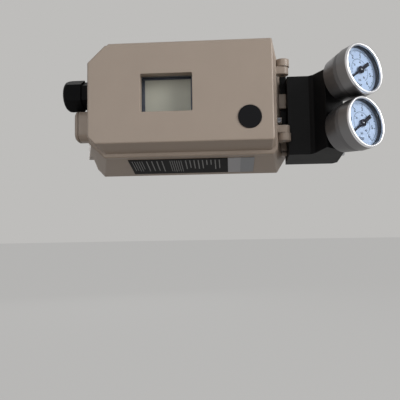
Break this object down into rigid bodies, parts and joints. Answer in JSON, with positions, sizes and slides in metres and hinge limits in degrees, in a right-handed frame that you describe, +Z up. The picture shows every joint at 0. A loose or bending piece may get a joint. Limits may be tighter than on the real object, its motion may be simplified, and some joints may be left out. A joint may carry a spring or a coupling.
{
  "type": "valve positioner",
  "caption": "Electropneumatic valve positioner: flared housing with hinged window cover, cable gland, connecting block with round pressure gauges, and a rear travel lever.",
  "frame": {"origin": "centre of the four rear mounting holes, on the rear mounting face", "axes": "+X to the right seen from the front, +Z up along the valve stem, +Y out of the rear mounting face; the cover faces -Y"},
  "size_m": [0.2684, 0.1192, 0.117],
  "materials": {
    "painted_casting": "beige powder coat, satin",
    "seal_rubber": "matt",
    "plate_metal": "printed plate, satin",
    "black_plastic": "moulded, satin",
    "grey_plastic": "moulded, matt",
    "dark_plastic": "moulded, matt",
    "badge_plastic": "gloss",
    "knob_plastic": "moulded, satin",
    "button_plastic": "gloss",
    "switch_plastic": "moulded",
    "terminal_plastic": "moulded",
    "board_laminate": "lacquered",
    "black_anodised": "black anodised",
    "bare_aluminium": "milled",
    "steel": "brushed",
    "bright_steel": "polished",
    "brass": "machined",
    "clear": "clear",
    "display": "liquid crystal",
    "dial_white": "white lacquer",
    "pointer_black": "black lacquer"
  },
  "bodies": {
    "housing": {"housing_base": "painted_casting", "cover_gasket": "seal_rubber", "rating_plate": "plate_metal", "gland_body": "black_plastic", "gland_seal": "seal_rubber", "gland_nut": "black_plastic", "hinge_pins": "steel", "earth_screw": "steel", "operating_panel": "grey_plastic", "panel_screws": "steel", "display_case": "dark_plastic", "display_glass": "display", "rotary_encoder": "dark_plastic", "terminal_block": "terminal_plastic", "terminal_screws": "steel", "circuit_board": "board_laminate", "manifold_plate": "bare_aluminium", "ip_converter": "bare_aluminium", "booster_relay": "dark_plastic", "pressure_regulator": "bare_aluminium", "lock_keeper": "steel", "shaft_bush": "brass", "gauge_bracket": "black_anodised", "port_seals": "seal_rubber", "bracket_screws": "steel", "upper_case": "steel", "upper_bezel": "bright_steel", "upper_lens": "clear", "upper_dial": "dial_white", "upper_tube": "brass", "lower_case": "steel", "lower_bezel": "bright_steel", "lower_lens": "clear", "lower_dial": "dial_white", "lower_tube": "brass"},
    "cover": {"cover_shell": "painted_casting", "window_seal": "seal_rubber", "window_glass": "clear", "window_retainer": "bare_aluminium", "retainer_screws": "steel", "badge_disc": "badge_plastic"},
    "lock": {"cover_lock": "steel"},
    "encoder": {"encoder_shaft": "steel"},
    "knob": {"rotary_knob": "knob_plastic"},
    "button": {"init_button": "button_plastic"},
    "mode_slide": {"mode_switch": "switch_plastic"},
    "restrictor_disc": {"restrictor": "brass"},
    "lever": {"travel_shaft": "steel", "travel_lever": "steel", "lever_nut": "steel", "follower_pin": "steel", "follower_nut": "steel"},
    "upper_needle": {"upper_pointer": "pointer_black"},
    "upper_quadrant": {"upper_sector": "brass"},
    "lower_needle": {"lower_pointer": "pointer_black"},
    "lower_quadrant": {"lower_sector": "brass"}
  },
  "joints": [
    {"name": "cover_hinge", "type": "hinge", "parent": "housing", "child": "cover", "pos_m": [0.085, -0.044, -0.0027], "axis": [0, 0, 1], "range_deg": [0, 93]},
    {"name": "lock_turn", "type": "hinge", "parent": "cover", "child": "lock", "pos_m": [-0.073, -0.053, -0.026], "axis": [1, 0, 0], "range_deg": [0, 90]},
    {"name": "knob_push", "type": "slide", "parent": "housing", "child": "encoder", "axis": [0, 1, 0], "range_m": [0, 0.001], "stiffness_N_per_m": 1500},
    {"name": "knob_turn", "type": "hinge", "parent": "encoder", "child": "knob", "pos_m": [0.038, -0.048, 0.013], "axis": [0, 1, 0], "continuous": true},
    {"name": "init_press", "type": "slide", "parent": "housing", "child": "button", "axis": [0, 1, 0], "range_m": [0, 0.0012], "stiffness_N_per_m": 800},
    {"name": "mode_travel", "type": "slide", "parent": "housing", "child": "mode_slide", "axis": [0, 0, 1], "range_m": [0, 0.005]},
    {"name": "restrictor_turn", "type": "hinge", "parent": "housing", "child": "restrictor_disc", "pos_m": [0.06, -0.042, -0.015], "axis": [0, 1, 0], "range_deg": [0, 90]},
    {"name": "lever_swing", "type": "hinge", "parent": "housing", "child": "lever", "pos_m": [0.042, 0, 0], "axis": [0, 1, 0], "range_deg": [-30, 30]},
    {"name": "upper_reading", "type": "hinge", "parent": "housing", "child": "upper_needle", "pos_m": [0.127, -0.0505, 0.0095], "axis": [-0.5846, 0.8046, -0.1045], "range_deg": [0, 270], "stiffness_Nm_per_rad": 0.00002},
    {"name": "upper_sector_turn", "type": "hinge", "parent": "housing", "child": "upper_quadrant", "pos_m": [0.1276, -0.05132, -0.00015], "axis": [-0.5846, 0.8046, -0.1045], "range_deg": [-54, 0]},
    {"name": "lower_reading", "type": "hinge", "parent": "housing", "child": "lower_needle", "pos_m": [0.127, -0.0505, -0.0325], "axis": [-0.5846, 0.8046, -0.1045], "range_deg": [0, 270], "stiffness_Nm_per_rad": 0.00002},
    {"name": "lower_sector_turn", "type": "hinge", "parent": "housing", "child": "lower_quadrant", "pos_m": [0.1276, -0.05132, -0.04215], "axis": [-0.5846, 0.8046, -0.1045], "range_deg": [-54, 0]}
  ],
  "couplings": [
    {"joint": "upper_sector_turn", "follows": "upper_reading", "ratio": -0.2},
    {"joint": "lower_sector_turn", "follows": "lower_reading", "ratio": -0.2}
  ]
}
